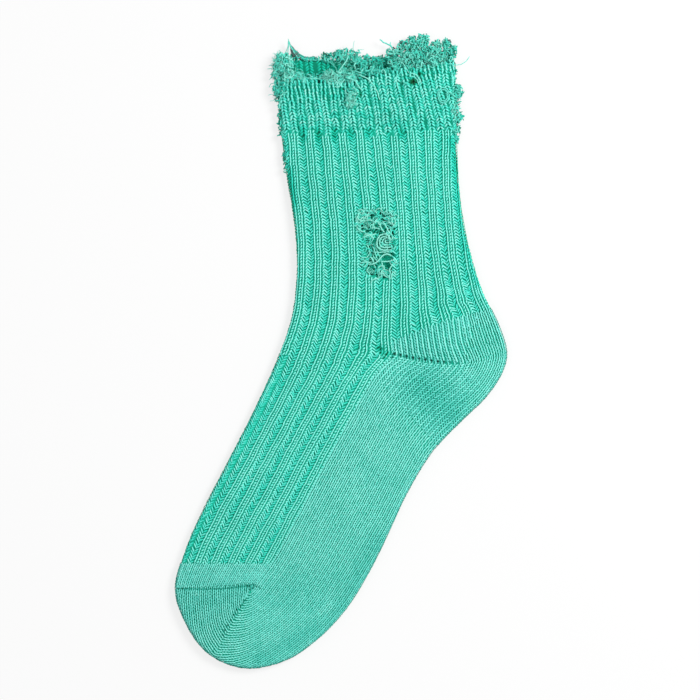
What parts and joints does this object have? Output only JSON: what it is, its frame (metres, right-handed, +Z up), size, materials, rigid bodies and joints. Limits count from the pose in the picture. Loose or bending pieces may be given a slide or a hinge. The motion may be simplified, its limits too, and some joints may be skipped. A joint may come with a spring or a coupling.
{
  "type": "holey sock",
  "caption": "Distressed ribbed crew sock laid flat on its side: torn, fraying cuff, worn hole in the leg, plain knit heel and toe pockets.",
  "frame": {"origin": "middle of the box that holds the sock, at the surface it lies on", "axes": "+X from the shin to the calf, +Y from the toe to the cuff, +Z up from the surface"},
  "size_m": [0.1666, 0.3172, 0.007],
  "materials": {
    "mint_rib_knit": "matte cotton knit",
    "mint_loose_yarn": "fuzzy loose cotton yarn"
  },
  "bodies": {
    "root": {"knit_tube": "mint_rib_knit", "upper_rim_fray": "mint_loose_yarn", "lower_rim_fray": "mint_loose_yarn", "side_fray": "mint_loose_yarn", "run_yarn": "mint_loose_yarn"}
  },
  "joints": []
}
